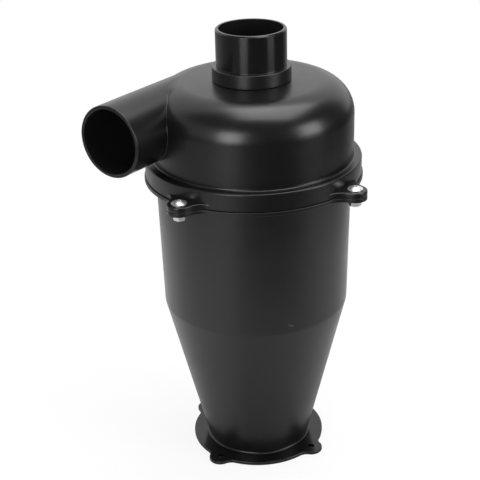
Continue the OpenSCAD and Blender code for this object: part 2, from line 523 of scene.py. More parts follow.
@dataclass(frozen=True)
class Bore:
    """A round bore whose inside is painted paler, as painted light reaching into it, sized in
    metres.
    """

    radius: float
    scale: tuple[float, float, float]
    shift: tuple[float, float, float] = (0.0, 0.0, 0.0)
    front_only: bool = False
    blur: float = 0.0002
    head: tuple[float, float] = (-0.03, -0.02)

    def inside(self, board: Board) -> Wire:
        """Tell the inside of the bore from the rest.

        Args:
            board: Board that the nodes are added to.

        Returns:
            1 inside the bore and 0 outside.
        """
        across = board.wire("Mapping", 0, {}, {
            "Vector": board.place(), "Scale": self.scale, "Location": self.shift})
        low, high = self.radius - self.blur, self.radius + self.blur
        share = 1.0 - board.ramp(board.length(across), low, high)
        if not self.front_only:
            return share
        along = board.split(board.place())[1]
        return share * (1.0 - board.ramp(along, *self.head))


@dataclass(frozen=True)
class RubbedMark:
    """A short pale mark, where something has rubbed the plastic, sized in metres."""

    centre: tuple[float, float, float]
    half_size: tuple[float, float, float]
    azimuth: float
    tilt: float
    colour: tuple[float, float, float] = (0.05, 0.05, 0.05)
    fade: tuple[float, float] = (0.35, 1.1)

    def share(self, board: Board) -> Wire:
        """Tell the mark from the rest.

        Args:
            board: Board that the nodes are added to.

        Returns:
            1 in the middle of the mark and 0 outside.
        """
        turn = (math.radians(self.tilt), 0.0, math.radians(self.azimuth))
        place = board.wire("Mapping", 0, {"vector_type": "TEXTURE"}, {
            "Vector": board.place(), "Location": self.centre, "Rotation": turn,
            "Scale": self.half_size})
        return 1.0 - board.ramp(board.length(place), *self.fade)


@dataclass(frozen=True)
class MouldedPlastic:
    """Black moulded plastic, from satin to gloss."""

    name: str
    colour: tuple[float, float, float]
    bloom: tuple[float, float, float]
    roughness: float
    roughness_spread: float
    grain_depth: float
    wave_depth: float
    wave_scale: float
    stretch: tuple[float, float, float] = (1.0, 1.0, 1.0)
    band: tuple[float, float] | None = None
    band_gain: float = 0.0
    band_blur: float = 0.0002
    bore: Bore | None = None
    # The next two colours are painted light: paler colours inside the bore, standing in for light
    # reaching into it.
    bore_light: tuple[float, float, float] = (0.012, 0.012, 0.012)
    brighter_bore_light: tuple[float, float, float] = (0.0156, 0.0156, 0.0156)
    mark: RubbedMark | None = None
    cloud_scale: float = 14.0
    cloud_share: float = 0.5
    handling_scale: float = 70.0
    handling_fade: tuple[float, float] = (0.5, 0.8)
    handling_share: float = 0.3
    handling_gloss: float = 0.4
    speck_scale: float = 1300.0
    speck_fade: tuple[float, float] = (0.76, 0.8)
    speck_share: float = 0.3
    gloss_scale: float = 45.0
    grain_scale: float = 2400.0

    def _handling(self, board: Board) -> Wire:
        """Return where hands have dulled the surface."""
        return board.ramp(board.noise(self.handling_scale, 4.0, 0.6), *self.handling_fade)

    def _colour(self, board: Board, handling: Wire) -> Wire:
        """Colour the surface.

        Args:
            board: Board that the nodes are added to.
            handling: Where hands have dulled the surface.

        Returns:
            The colour, with its bloom, the painted light inside the bore and the rubbed mark.
        """
        specks = board.ramp(board.noise(self.speck_scale, 1.0), *self.speck_fade)
        shade = (board.noise(self.cloud_scale, 3.0) * self.cloud_share
                 + handling * self.handling_share + specks * self.speck_share)
        colour = board.blend(shade, self.colour, self.bloom)
        if self.bore:
            # Painted light: the inside of the bore is coloured paler, standing in for light
            # reaching into it.
            painted_bore_light = board.blend(shade, self.bore_light, self.brighter_bore_light)
            colour = board.blend(self.bore.inside(board), colour, painted_bore_light)
        if self.mark:
            colour = board.blend(self.mark.share(board), colour, self.mark.colour)
        return colour

    def _gloss(self, board: Board, handling: Wire) -> Wire:
        """Vary the roughness.

        Args:
            board: Board that the nodes are added to.
            handling: Where hands have dulled the surface.

        Returns:
            The roughness, changed in the band of heights that has its own.
        """
        gloss = (board.noise(self.gloss_scale, 3.0) - 0.5) * self.roughness_spread + self.roughness
        gloss = gloss + handling * (self.roughness_spread * self.handling_gloss)
        if self.band is None:
            return gloss
        height, (low, high) = board.split(board.place())[2], self.band
        above = board.ramp(height, low - self.band_blur, low)
        return gloss + (above - board.ramp(height, high, high + self.band_blur)) * self.band_gain

    def build(self) -> bpy.types.Material:
        """Wire up the material.

        Returns:
            The material.
        """
        material, board = new_material(self.name)
        handling = self._handling(board)
        waves = board.bump(board.noise(self.wave_scale, 1.0, 0.4, self.stretch), self.wave_depth)
        grain = board.bump(board.noise(self.grain_scale, 2.0), self.grain_depth, waves)
        surface = board.wire("BsdfPrincipled", 0, {}, {
            "Base Color": self._colour(board, handling), "Roughness": self._gloss(board, handling),
            "Normal": grain, "IOR": 1.5})
        board.add("OutputMaterial", {}, {"Surface": surface})
        return material


@dataclass(frozen=True)
class PlatedSteel:
    """Bright zinc-plated steel of small fasteners."""

    name: str
    colour: tuple[float, float, float] = (0.92, 0.92, 0.91)
    dull: tuple[float, float, float] = (0.80, 0.80, 0.78)
    roughness: float = 0.34
    roughness_spread: float = 0.12
    blotch_scale: float = 420.0
    blotch_fade: tuple[float, float] = (0.35, 0.75)
    turning_scale: float = 900.0
    turning_depth: float = 0.000004

    def build(self) -> bpy.types.Material:
        """Wire up the material.

        Returns:
            The material.
        """
        material, board = new_material(self.name)
        blotches = board.ramp(board.noise(self.blotch_scale, 3.0, 0.6), *self.blotch_fade)
        turning = board.noise(self.turning_scale, 2.0, 0.5, (1.0, 1.0, 6.0))
        surface = board.wire("BsdfPrincipled", 0, {}, {
            "Base Color": board.blend(blotches, self.colour, self.dull), "Metallic": 1.0,
            "Roughness": blotches * self.roughness_spread + self.roughness,
            "Normal": board.bump(turning, self.turning_depth)})
        board.add("OutputMaterial", {}, {"Surface": surface})
        return material


@dataclass(frozen=True)
class SealRubber:
    """Matt black rubber of the joint's seal."""

    name: str
    colour: tuple[float, float, float] = (0.018, 0.018, 0.018)
    bloom: tuple[float, float, float] = (0.04, 0.04, 0.04)
    roughness: float = 0.75
    roughness_spread: float = 0.15
    chalk_scale: float = 160.0
    grain_scale: float = 1800.0
    grain_depth: float = 0.00004

    def build(self) -> bpy.types.Material:
        """Wire up the material.

        Returns:
            The material.
        """
        material, board = new_material(self.name)
        chalk = board.noise(self.chalk_scale, 3.0)
        surface = board.wire("BsdfPrincipled", 0, {}, {
            "Base Color": board.blend(chalk, self.colour, self.bloom),
            "Roughness": chalk * self.roughness_spread + self.roughness,
            "Normal": board.bump(board.noise(self.grain_scale), self.grain_depth)})
        board.add("OutputMaterial", {}, {"Surface": surface})
        return material


BODY_FINISH = MouldedPlastic(
    "satin_body_plastic", (0.0045, 0.0045, 0.0048), (0.009, 0.009, 0.0094),
    roughness=0.34, roughness_spread=0.1, grain_depth=0.000012, wave_depth=0.0003, wave_scale=22.0,
    band=(0.0, 0.00262), band_gain=-0.17,
    mark=RubbedMark((0.0578, -0.0374, 0.1293), (0.004, 0.0031, 0.0009), -32.8, -22.0))
COVER_FINISH = MouldedPlastic(
    "satin_cover_plastic", (0.0045, 0.0045, 0.0048), (0.009, 0.009, 0.0094),
    roughness=0.29, roughness_spread=0.08, grain_depth=0.000012, wave_depth=0.0003, wave_scale=24.0,
    bore=Bore(0.0242, (1.0, 0.0, 1.0), (0.0469, 0.0, -0.2664), True))
TUBE_FINISH = MouldedPlastic(
    "gloss_tube_plastic", (0.007, 0.007, 0.0073), (0.012, 0.012, 0.0123),
    roughness=0.17, roughness_spread=0.06, grain_depth=0.000004, wave_depth=0.0005, wave_scale=34.0,
    stretch=(1.0, 1.0, 0.5), band=(0.2928, 0.3024), band_gain=0.17,
    bore=Bore(0.0234, (1.0, 1.0, 0.0)))
STEEL_FINISH = PlatedSteel("zinc_plated_steel")
RUBBER_FINISH = SealRubber("seal_rubber")


# Pieces


@dataclass(frozen=True)
class LugRing:
    """A flange with four lugs, whose sides run into it in hollow curves."""

    ring: float
    bolt_circle: float
    lug_end: float
    blend: float
    ring_steps: int = 26
    blend_steps: int = 10
    end_steps: int = 20

    def slab(self, low: float, high: float, edge: float) -> bmesh.types.BMesh:
        """Make the flange as a solid plate with rounded rims.

        Args:
            low: Height of the underside.
            high: Height of the top.
            edge: Size of the rounding along the rims.

        Returns:
            The mesh, in millimetres.
        """
        reach = self.ring + self.blend
        side = self.lug_end + self.blend
        bolt = self.bolt_circle
        turn = math.acos((reach ** 2 + bolt ** 2 - side ** 2) / (2 * reach * bolt))
        hollow = math.acos((reach ** 2 + side ** 2 - bolt ** 2) / (2 * reach * side))
        lug_half = math.degrees(turn)
        hollow_angle = math.degrees(hollow)
        end_angle = 2.0 * (lug_half + hollow_angle)
        pen = Pen(self._polar(self.ring, lug_half), Plane.PLAN)
        for lug in LUG_ANGLES:
            pen.arc((0.0, 0.0), 90.0 - 2.0 * lug_half, self.ring_steps)
            pen.arc(self._polar(reach, lug + 90.0 - lug_half), -hollow_angle, self.blend_steps)
            pen.arc(self._polar(bolt, lug + 90.0), end_angle, self.end_steps)
            pen.arc(self._polar(reach, lug + 90.0 + lug_half), -hollow_angle, self.blend_steps)
        return pen.close().slab(low, high, edge)

    def holes(self, radius: float, low: float, high: float) -> list[bmesh.types.BMesh]:
        """Make the four holes of the lugs as solids to be cut away.

        Args:
            radius: Radius of a hole.
            low: Height where it starts.
            high: Height where it ends.

        Returns:
            The four meshes, in millimetres.
        """
        return [moved(cylinder(radius, low, high), self._polar(self.bolt_circle, lug) + (0.0,))
                for lug in LUG_ANGLES]

    @staticmethod
    def _polar(radius: float, degrees: float) -> tuple[float, float]:
        """Return the point at a radius and an angle."""
        angle = math.radians(degrees)
        return radius * math.cos(angle), radius * math.sin(angle)


@dataclass(frozen=True)
class Joint:
    """Sizes that the body, the cover, the screws and the nuts share."""

    height: float = 223.5
    bolt_circle: float = 86.0
    lug_end: float = 8.5
    lug_blend: float = 16.0
    hole_radius: float = 2.75
    body_flange: float = 2.8
    cover_lug: float = 4.2


@dataclass(frozen=True)
class Body:
    """Base flange, cone, barrel and joint flange, in one moulding."""

    joint: Joint
    wall: float = 2.6
    foot_radius: float = 39.2
    edge_radius: float = 68.7
    edge_height: float = 123.5
    top_radius: float = 70.9
    outlet_land: float = 6.0
    foot_blend: float = 1.6
    foot_sweep: float = 74.0
    foot_steps: int = 8
    foot_lift: float = 0.3
    foot_sink: float = 0.02
    root_height: float = 0.8
    root_step: float = 0.4
    edge_step: float = 0.25
    edge_bulge: float = 0.03
    edge_soft: float = 1.0
    top_sink: float = 1.0
    base_thickness: float = 2.6
    base_round: float = 0.45
    base_lugs: LugRing = LugRing(51.0, bolt_circle=50.5, lug_end=8.5, blend=8.0, ring_steps=20)
    base_hole: float = 2.5
    base_hole_top: float = 5.0
    flange_radius: float = 79.1
    flange_round: float = 0.35
    seal_inner: float = 72.2
    seal_outer: float = 75.4
    seal_depth: float = 1.3

    def outside(self) -> bmesh.types.BMesh:
        """Make the cone and barrel as one full solid.

        Returns:
            The mesh, in millimetres.
        """
        foot, step, top = self.base_thickness, self.edge_step, self.joint.height - self.top_sink
        lean = math.atan2(self.edge_radius - self.foot_radius, self.edge_height - foot)
        rise = foot + self.foot_blend * (1.0 - math.sin(lean)) + self.foot_lift
        slope = (rise - foot) * math.tan(lean)
        ring, low = self.foot_radius + self.foot_blend, foot - self.foot_sink
        root = ring + self.root_step
        pen = Pen((0.0, self.root_height))
        pen.line((root, self.root_height), (root, low - self.root_step), (ring, low))
        pen.arc((ring, low + self.foot_blend), -self.foot_sweep, self.foot_steps)
        pen.line((self.foot_radius + slope + step, rise + step / math.tan(lean)),
                 (self.edge_radius - step, self.edge_height - self.edge_soft),
                 (self.edge_radius + self.edge_bulge, self.edge_height + self.edge_soft),
                 (self.top_radius, top), (0.0, top))
        return pen.lathe()

    def inside(self) -> bmesh.types.BMesh:
        """Make the room inside the body, from below the base to above the joint.

        Returns:
            The mesh, in millimetres.
        """
        over = 2.0 * PAST
        lean = (self.top_radius - self.edge_radius) / (self.joint.height - self.edge_height)
        foot = self.foot_radius - self.wall
        return Pen((0.0, -over)).line(
            (foot, -over), (foot, self.outlet_land),
            (self.edge_radius - self.wall, self.edge_height),
            (self.top_radius - self.wall + lean * over, self.joint.height + over),
            (0.0, self.joint.height + over)).lathe()

    def build(self, material: bpy.types.Material) -> bpy.types.Object:
        """Build and dress the body.

        Args:
            material: Its plastic.

        Returns:
            The finished body.
        """
        joint = self.joint
        top, low = joint.height, joint.height - joint.body_flange
        lugs = LugRing(self.flange_radius, joint.bolt_circle, joint.lug_end, joint.lug_blend)
        plate = self.base_lugs.slab(0.0, self.base_thickness, self.base_round)
        base = Blank("separator_body", plate)
        base.shape(Joining.ADD, self.outside(), lugs.slab(low, top, self.flange_round))
        base.shape(Joining.CUT, self.inside())
        groove = Pen((self.seal_inner, top - self.seal_depth)).line(
            (self.seal_outer, top - self.seal_depth), (self.seal_outer, top + PAST),
            (self.seal_inner, top + PAST)).close().lathe()
        base.shape(Joining.CUT, groove)
        base.shape(Joining.CUT, *self.base_lugs.holes(self.base_hole, -PAST, self.base_hole_top))
        base.shape(Joining.CUT, *lugs.holes(joint.hole_radius, low - PAST, top + PAST))
        return base.finish("body", material)


@dataclass(frozen=True)
class PipeBlend:
    """Hollow curve in the corner between the inlet pipe and the head, rolled like a ball.

    Angles are in degrees round the pipe, from its top towards the head.
    """

    core_radius: float
    core_height: float
    shoulder: float
    pipe_offset: float
    pipe_height: float
    pipe_radius: float
    bite: float = 0.05
    large_ball: float = 42.0
    small_ball: float = 0.5
    first: float = -58.0
    last: float = 172.0
    step: float = 1.5
    arc_steps: int = 8
    rise_at: float = -38.0
    rise_over: float = 5.0
    fall_at: float = 12.5
    fall_over: float = 7.0
    anchor: float = 1.8
    least_cosine: float = 0.3

    def _radius(self, angle: float) -> float:
        """Size the ball: large on the pipe's top, and small down its side.

        Args:
            angle: Angle round the pipe.

        Returns:
            The ball's radius.
        """
        rising = 1.0 / (1.0 + math.exp((self.rise_at - angle) / self.rise_over))
        falling = 1.0 / (1.0 + math.exp((angle - self.fall_at) / self.fall_over))
        return self.small_ball + (self.large_ball - self.small_ball) * rising * falling

    def _section(self, angle: float) -> list[Vector]:
        """Work out the corners of one section, above the joint.

        Args:
            angle: Angle round the pipe.

        Returns:
            The hollow arc from the pipe to the head, and last a point inside both.
        """
        turn, ball = math.radians(angle), self._radius(angle)
        reach = self.pipe_radius + ball - self.bite
        across = -self.pipe_offset + reach * math.sin(turn)
        height = self.pipe_height + reach * math.cos(turn)
        rise = max(height - self.core_height, 0.0)
        spread = math.sqrt((self.shoulder + ball - self.bite) ** 2 - rise ** 2)
        radius = self.core_radius + spread
        centre = Vector((across, -math.sqrt(radius ** 2 - across ** 2), height))
        to_pipe = Vector((-math.sin(turn), 0.0, -math.cos(turn)))
        to_head = Vector((-centre.x * spread / radius, -centre.y * spread / radius, -rise))
        to_head.normalize()
        middle = (to_pipe + to_head).normalized()
        corner = ball / max(middle.dot(to_pipe), self.least_cosine) + self.anchor
        arc = [centre + ball * to_pipe.slerp(to_head, i / self.arc_steps)
               for i in range(self.arc_steps + 1)]
        return arc + [centre + corner * middle]

    def solid(self) -> bmesh.types.BMesh:
        """Make the filling as a closed solid above the joint.

        Returns:
            The mesh, in millimetres.
        """
        mesh = bmesh.new()
        start = self._section(self.first)
        rim = [mesh.verts.new(start[0])]
        for point in start[1:]:
            grown = bmesh.ops.extrude_vert_indiv(mesh, verts=[rim[-1]])["verts"][0]
            grown.co = point
            rim.append(grown)
        bmesh.ops.contextual_create(mesh, geom=[rim[-1], rim[0]])
        bmesh.ops.contextual_create(mesh, geom=mesh.edges[:])
        face = mesh.faces[:]
        for i in range(1, round((self.last - self.first) / self.step) + 1):
            raised = bmesh.ops.extrude_face_region(mesh, geom=face, use_keep_orig=i == 1)
            face = [item for item in raised["geom"] if isinstance(item, bmesh.types.BMFace)]
            for corner, point in zip(face[0].verts, self._section(self.first + i * self.step)):
                corner.co = point
        return cleaned(mesh)


@dataclass(frozen=True)
class Cover:
    """Skirt with lugs, domed head and tangential inlet pipe, in one moulding."""

    joint: Joint
    wall: float = 2.5
    skirt_radius: float = 78.2
    skirt_height: float = 13.0
    skirt_round: float = 1.0
    lug_bite: float = 0.06
    lug_round: float = 0.8
    lug_hole_top: float = 8.0
    joint_bevel: float = 0.5
    dome_radius: float = 72.4
    dome_height: float = 69.1
    shoulder: float = 24.0
    crown_rise: float = 0.6
    corner: float = 1.3
    seat_radius: float = 28.4
    tube_hole: float = 25.1
    tube_hole_low: float = 60.0
    tube_hole_high: float = 80.0
    pipe_offset: float = 46.9
    pipe_height: float = 42.9
    pipe_length: float = 100.0
    pipe_root: float = 25.35
    pipe_radius: float = 25.5
    pipe_seat: float = 28.0
    pipe_wall: float = 2.5
    pipe_sides: int = 128
    lip: float = 0.8
    lip_steps: int = 4
    mouth_bevel: float = 0.3
    skirt_steps: int = 8
    corner_steps: int = 5
    shoulder_steps: int = 28

    def _dome(self, wall: float, low: float, skirt: bool) -> bmesh.types.BMesh:
        """Make the domed head as a solid, set in by a wall.

        Args:
            wall: How far its surface lies inside the outside one.
            low: Height of its foot above the joint.
            skirt: Whether the skirt ring goes with it.

        Returns:
            The mesh, in millimetres.
        """
        centre = (self.dome_radius - self.shoulder,
                  self.dome_height - self.crown_rise - self.shoulder)
        side = self.dome_radius - wall
        pen = Pen((0.0, low))
        if skirt:
            edge = self.skirt_radius - self.skirt_round
            pen.line((self.skirt_radius - self.joint_bevel, low),
                     (self.skirt_radius, low + self.joint_bevel),
                     (self.skirt_radius, self.skirt_height - self.skirt_round))
            pen.arc((edge, self.skirt_height - self.skirt_round), 90.0, self.skirt_steps)
            pen.line((side + self.corner, self.skirt_height))
            pen.arc((side + self.corner, self.skirt_height + self.corner), -90.0,
                    self.corner_steps)
        else:
            pen.line((side, low))
        pen.line((side, centre[1]))
        pen.arc(centre, 90.0, self.shoulder_steps)
        pen.line((self.seat_radius, self.dome_height - wall), (0.0, self.dome_height - wall))
        return moved(pen.lathe(), (0.0, 0.0, self.joint.height))

    def _along_pipe(self, mesh: bmesh.types.BMesh) -> bmesh.types.BMesh:
        """Return a mesh turned from the Z axis to the axis of the inlet pipe."""
        return moved(mesh, (-self.pipe_offset, 0.0, self.joint.height + self.pipe_height),
                     90.0, "X")

    def _pipe(self) -> bmesh.types.BMesh:
        """Make the inlet pipe as a full solid along the Z axis, from the head's middle out.

        Returns:
            The mesh, in millimetres.
        """
        edge = self.pipe_length - self.lip
        pen = Pen((0.0, 0.0))
        pen.line((self.pipe_root, 0.0), (self.pipe_radius, edge - self.pipe_seat),
                 (self.pipe_radius, edge))
        pen.arc((self.pipe_radius - self.lip, edge), 90.0, self.lip_steps)
        return pen.line((0.0, self.pipe_length)).lathe(self.pipe_sides)

    def _pipe_bore(self) -> bmesh.types.BMesh:
        """Make the room inside the inlet pipe, in the same way, to past its mouth.

        Returns:
            The mesh, in millimetres.
        """
        mouth, length = self.pipe_radius - self.pipe_wall, self.pipe_length
        wide, over = mouth + self.mouth_bevel, length + 5.0 * PAST
        return Pen((0.0, 0.0)).line(
            (self.pipe_root - self.pipe_wall, 0.0), (mouth, length - self.mouth_bevel),
            (wide, length), (wide, over), (0.0, over)).lathe(self.pipe_sides)

    def _blend(self) -> bmesh.types.BMesh:
        """Make the hollow curve between the inlet pipe and the head.

        Returns:
            The mesh, in millimetres.
        """
        filling = PipeBlend(
            core_radius=self.dome_radius - self.shoulder,
            core_height=self.dome_height - self.crown_rise - self.shoulder,
            shoulder=self.shoulder, pipe_offset=self.pipe_offset, pipe_height=self.pipe_height,
            pipe_radius=(self.pipe_root + self.pipe_radius) / 2.0)
        return moved(filling.solid(), (0.0, 0.0, self.joint.height))

    def build(self, material: bpy.types.Material) -> bpy.types.Object:
        """Build and dress the cover.

        Args:
            material: Its plastic.

        Returns:
            The finished cover.
        """
        joint, base = self.joint, self.joint.height
        lugs = LugRing(self.skirt_radius - self.lug_bite, joint.bolt_circle, joint.lug_end,
                       joint.lug_blend)
        cover = Blank("separator_cover", self._dome(0.0, 0.0, True))
        cover.shape(Joining.ADD, lugs.slab(base, base + joint.cover_lug, self.lug_round))
        cover.shape(Joining.ADD, self._along_pipe(self._pipe()))
        cover.shape(Joining.ADD, self._blend())
        cover.shape(Joining.CUT, self._dome(self.wall, -2.0 * PAST, False))
        cover.shape(Joining.CUT, self._along_pipe(self._pipe_bore()))
        low, high = base + self.tube_hole_low, base + self.tube_hole_high
        cover.shape(Joining.CUT, cylinder(self.tube_hole, low, high, self.pipe_sides))
        low, high = base - PAST, base + self.lug_hole_top
        cover.shape(Joining.CUT, *lugs.holes(joint.hole_radius, low, high))
        return cover.finish("cover", material)


@dataclass(frozen=True)
class OutletTube:
    """Outlet tube with its collar; its lower part is the vortex finder."""

    radius: float = 25.0
    bore: float = 22.6
    low: float = 204.6
    seat: float = 292.6
    collar_radius: float = 28.0
    collar_top: float = 302.6
    rim: float = 329.0
    collar_round: float = 0.7
    collar_foot: float = 0.15
    collar_steps: int = 4
    rim_bevel: float = 0.9
    rim_soft: float = 0.15
    rim_in: float = 0.1
    rim_down: float = 0.05
    fine: float = 0.25
    fine_steps: int = 3

    def build(self, material: bpy.types.Material) -> bpy.types.Object:
        """Build and dress the tube.

        Args:
            material: Its plastic.

        Returns:
            The finished tube.
        """
        edge, fine, soft = self.collar_round, self.fine, self.collar_foot
        outer, wide = self.radius - fine, self.collar_radius - edge
        cut, top = self.radius - self.rim_bevel, self.rim - self.rim_bevel
        pen = Pen((self.bore, self.low + fine))
        pen.arc((self.bore + fine, self.low + fine), 90.0, self.fine_steps)
        pen.line((outer, self.low)).arc((outer, self.low + fine), 90.0, self.fine_steps)
        pen.line((self.radius, self.seat), (wide, self.seat))
        pen.arc((wide, self.seat + edge), 90.0, self.collar_steps)
        pen.line((self.collar_radius, self.collar_top - edge))
        pen.arc((wide, self.collar_top - edge), 90.0, self.collar_steps)
        pen.line((self.radius + soft, self.collar_top))
        pen.arc((self.radius + soft, self.collar_top + soft), -90.0, self.collar_steps)
        pen.line((self.radius, top - self.rim_soft),
                 (self.radius - self.rim_in, top + self.rim_down),
                 (cut + self.rim_in, self.rim - self.rim_down), (cut - self.rim_soft, self.rim),
                 (self.bore + fine, self.rim))
        pen.arc((self.bore + fine, self.rim - fine), 90.0, self.fine_steps)
        tube = Blank("outlet_tube_moulding", pen.close().lathe())
        return tube.finish("outlet_tube", material)


@dataclass(frozen=True)
class Screws:
    """The four joint screws, with domed flange heads and rolled threads."""

    joint: Joint
    radius: float = 2.5
    length: float = 12.0
    flange_radius: float = 5.4
    flange_height: float = 0.7
    flange_foot: float = 0.15
    flange_bevel: float = 0.2
    dome_radius: float = 4.5
    dome_steps: int = 10
    head_height: float = 2.3
    socket_corner: float = 1.73
    socket_depth: float = 1.3
    core_radius: float = 2.1
    core_top: float = -1.0
    neck: float = -0.6
    point: float = 0.4
    sides: int = 40
    pitch: float = 0.8
    turns: int = 13
    turn_steps: int = 18
    thread_start: float = 0.5
    thread_bite: float = 0.1
    thread_share: float = 0.42
    crest_half: float = 0.06
    crest_drop: float = 0.02

    def _blank(self) -> bmesh.types.BMesh:
        """Turn head and core in one piece, seated on the origin.

        Returns:
            The mesh, in millimetres.
        """
        rise = self.head_height - self.flange_height
        ball = (self.dome_radius ** 2 + rise ** 2) / (2.0 * rise)
        half = math.degrees(math.asin(self.dome_radius / ball))
        tip, flange = -self.length, self.flange_radius
        pen = Pen((0.0, tip))
        pen.line((self.core_radius - self.point, tip), (self.core_radius, tip + self.point),
                 (self.core_radius, self.core_top), (self.radius, self.neck), (self.radius, 0.0),
                 (flange - self.flange_foot, 0.0), (flange, self.flange_foot),
                 (flange, self.flange_height - self.flange_bevel),
                 (flange - self.flange_bevel, self.flange_height),
                 (self.dome_radius, self.flange_height))
        pen.arc((0.0, self.head_height - ball), half, self.dome_steps)
        return pen.lathe(self.sides)

    def _thread(self) -> bmesh.types.BMesh:
        """Wind the ridge of the thread as a closed strip round the core.

        Returns:
            The mesh, in millimetres.
        """
        low = -self.length + self.thread_start
        root, half = self.core_radius - self.thread_bite, self.pitch * self.thread_share
        crest = self.radius - self.crest_drop
        mesh = Pen((root, low - half)).line(
            (crest, low - self.crest_half), (crest, low + self.crest_half),
            (root, low + half)).close().mesh
        bmesh.ops.contextual_create(mesh, geom=mesh.edges[:])
        bmesh.ops.spin(
            mesh, geom=mesh.verts[:] + mesh.edges[:] + mesh.faces[:], cent=(0.0, 0.0, 0.0),
            axis=(0.0, 0.0, 1.0), dvec=(0.0, 0.0, self.pitch / self.turn_steps),
            angle=FULL_TURN * self.turns, steps=self.turn_steps * self.turns, use_merge=False,
            use_normal_flip=False, use_duplicate=False)
        return cleaned(mesh)

    def build(self, material: bpy.types.Material) -> bpy.types.Object:
        """Build and dress the four screws as one group.

        Args:
            material: Their steel.

        Returns:
            The finished group.
        """
        one = Blank("one_screw", self._blank())
        one.shape(Joining.CUT, cylinder(
            self.socket_corner, self.head_height - self.socket_depth, self.head_height + PAST, 6))
        group = one.release()
        ridge = self._thread()
        strip = bpy.data.meshes.new("ridge")
        ridge.to_mesh(strip)
        ridge.free()
        group.from_mesh(strip)
        bpy.data.meshes.remove(strip)
        seat = self.joint.height + self.joint.cover_lug
        moved(group, (self.joint.bolt_circle, 0.0, seat))
        repeat_round(group)
        return Blank("joint_screws", group).finish("screws", material)


@dataclass(frozen=True)
class Nuts:
    """The four hexagon nuts under the lugs of the body."""

    joint: Joint
    flats: float = 8.0
    flat_bevel: float = 0.05
    corner_round: float = 0.18
    height: float = 4.6
    bore: float = 2.55
    mouth: float = 3.45
    mouth_in: float = 0.3
    mouth_out: float = 0.6
    bore_sides: int = 32
    chamfer_sides: int = 48

    def build(self, material: bpy.types.Material) -> bpy.types.Object:
        """Build and dress the four nuts as one group.

        Args:
            material: Their steel.

        Returns:
            The finished group.
        """
        half, foot = self.flats / 2.0, -self.height
        corner = half / math.cos(math.radians(30.0))
        drop = (corner - half + self.flat_bevel) / math.sqrt(3.0)
        chamfers = Pen((0.0, foot)).line(
            (half - self.flat_bevel, foot), (corner, foot + drop), (corner, -drop),
            (half - self.flat_bevel, 0.0), (0.0, 0.0)).lathe(self.chamfer_sides)
        prism = cylinder(corner, foot - PAST, PAST, 6)
        upright = [e for e in prism.edges if abs(e.verts[0].co.z - e.verts[1].co.z) > LEVEL]
        bmesh.ops.bevel(
            prism, geom=upright, offset=self.corner_round, offset_type="OFFSET", segments=2,
            profile=0.5, affect="EDGES", material=-1, clamp_overlap=True)
        nut = Blank("one_nut", prism)
        nut.shape(Joining.KEEP_COMMON, chamfers)
        nut.shape(Joining.CUT, cylinder(
            self.bore, foot - 2.0 * PAST, 2.0 * PAST, self.bore_sides))
        nut.shape(Joining.CUT, cylinder(
            self.mouth, foot - self.mouth_out, foot + self.mouth_in, self.bore_sides, self.bore))
        nut.shape(Joining.CUT, cylinder(
            self.bore, -self.mouth_in, self.mouth_out, self.bore_sides, self.mouth))
        group = nut.release()
        moved(group, (self.joint.bolt_circle, 0.0, self.joint.height - self.joint.body_flange))
        repeat_round(group)
        return Blank("joint_nuts", group).finish("nuts", material)


def repeat_round(mesh: bmesh.types.BMesh) -> None:
    """Copy a mesh to each of the four lugs.

    Args:
        mesh: Mesh on the first lug, which gains its copies.
    """
    first = mesh.verts[:] + mesh.edges[:] + mesh.faces[:]
    for lug in LUG_ANGLES[1:]:
        copy = bmesh.ops.duplicate(mesh, geom=first)["geom"]
        corners = [item for item in copy if isinstance(item, bmesh.types.BMVert)]
        bmesh.ops.rotate(mesh, verts=corners, cent=(0.0, 0.0, 0.0),
                         matrix=Matrix.Rotation(math.radians(lug), 3, "Z"))


# Studio


@dataclass(frozen=True)
class Softbox:
    """A flat lamp that faces the object, sized in metres, with its azimuth in degrees."""

    name: str
    azimuth: float
    distance: float
    low: float
    high: float
    width: float
    radiance: float
    aim_height: float = 0.2

    def build(self) -> None:
        """Hang the lamp upright, or flat overhead where its height is zero."""
        overhead = self.high <= self.low
        depth = self.width if overhead else self.high - self.low
        light = bpy.data.lights.new(self.name, "AREA")
        light.shape, light.size, light.size_y = "RECTANGLE", self.width, depth
        light.energy = self.radiance * math.pi * self.width * depth
        lamp = bpy.data.objects.new(self.name, light)
        angle = math.radians(self.azimuth)
        height = self.low if overhead else (self.low + self.high) / 2.0
        place = Vector((self.distance * math.cos(angle), self.distance * math.sin(angle), height))
        lamp.location = place
        aim = Vector((0.0, 0.0, self.aim_height if overhead else height)) - place
        lamp.rotation_euler = aim.to_track_quat("-Z", "Y").to_euler()
        lamp.visible_camera = False
        bpy.context.scene.collection.objects.link(lamp)


@dataclass(frozen=True)
class Side:
    """One side of the surroundings, towards which its light or paleness fades in."""

    azimuth: float
    fade: tuple[float, float]
    level: float = 1.0

    def share(self, board: Board, across: Wire, along: Wire, reach: Wire) -> Wire:
        """Tell what lies on this side from the rest.

        Args:
            board: Board that the nodes are added to.
            across: Distance along X of a place or direction.
            along: Its distance along Y.
            reach: Its distance from the middle.

        Returns:
            1 straight towards the side, less away from it.
        """
        angle = math.radians(self.azimuth)
        towards = across * math.cos(angle) + along * math.sin(angle)
        return board.ramp(towards / reach, *self.fade)


@dataclass(frozen=True)
class Falloff:
    """A paleness of the floor that falls with the distance from the object."""

    level: float
    fall: float
    near: float
    far: float

    def over(self, board: Board, reach: Wire) -> Wire:
        """Return the paleness at a distance in metres."""
        return self.level - board.ramp(reach, self.near, self.far) * self.fall


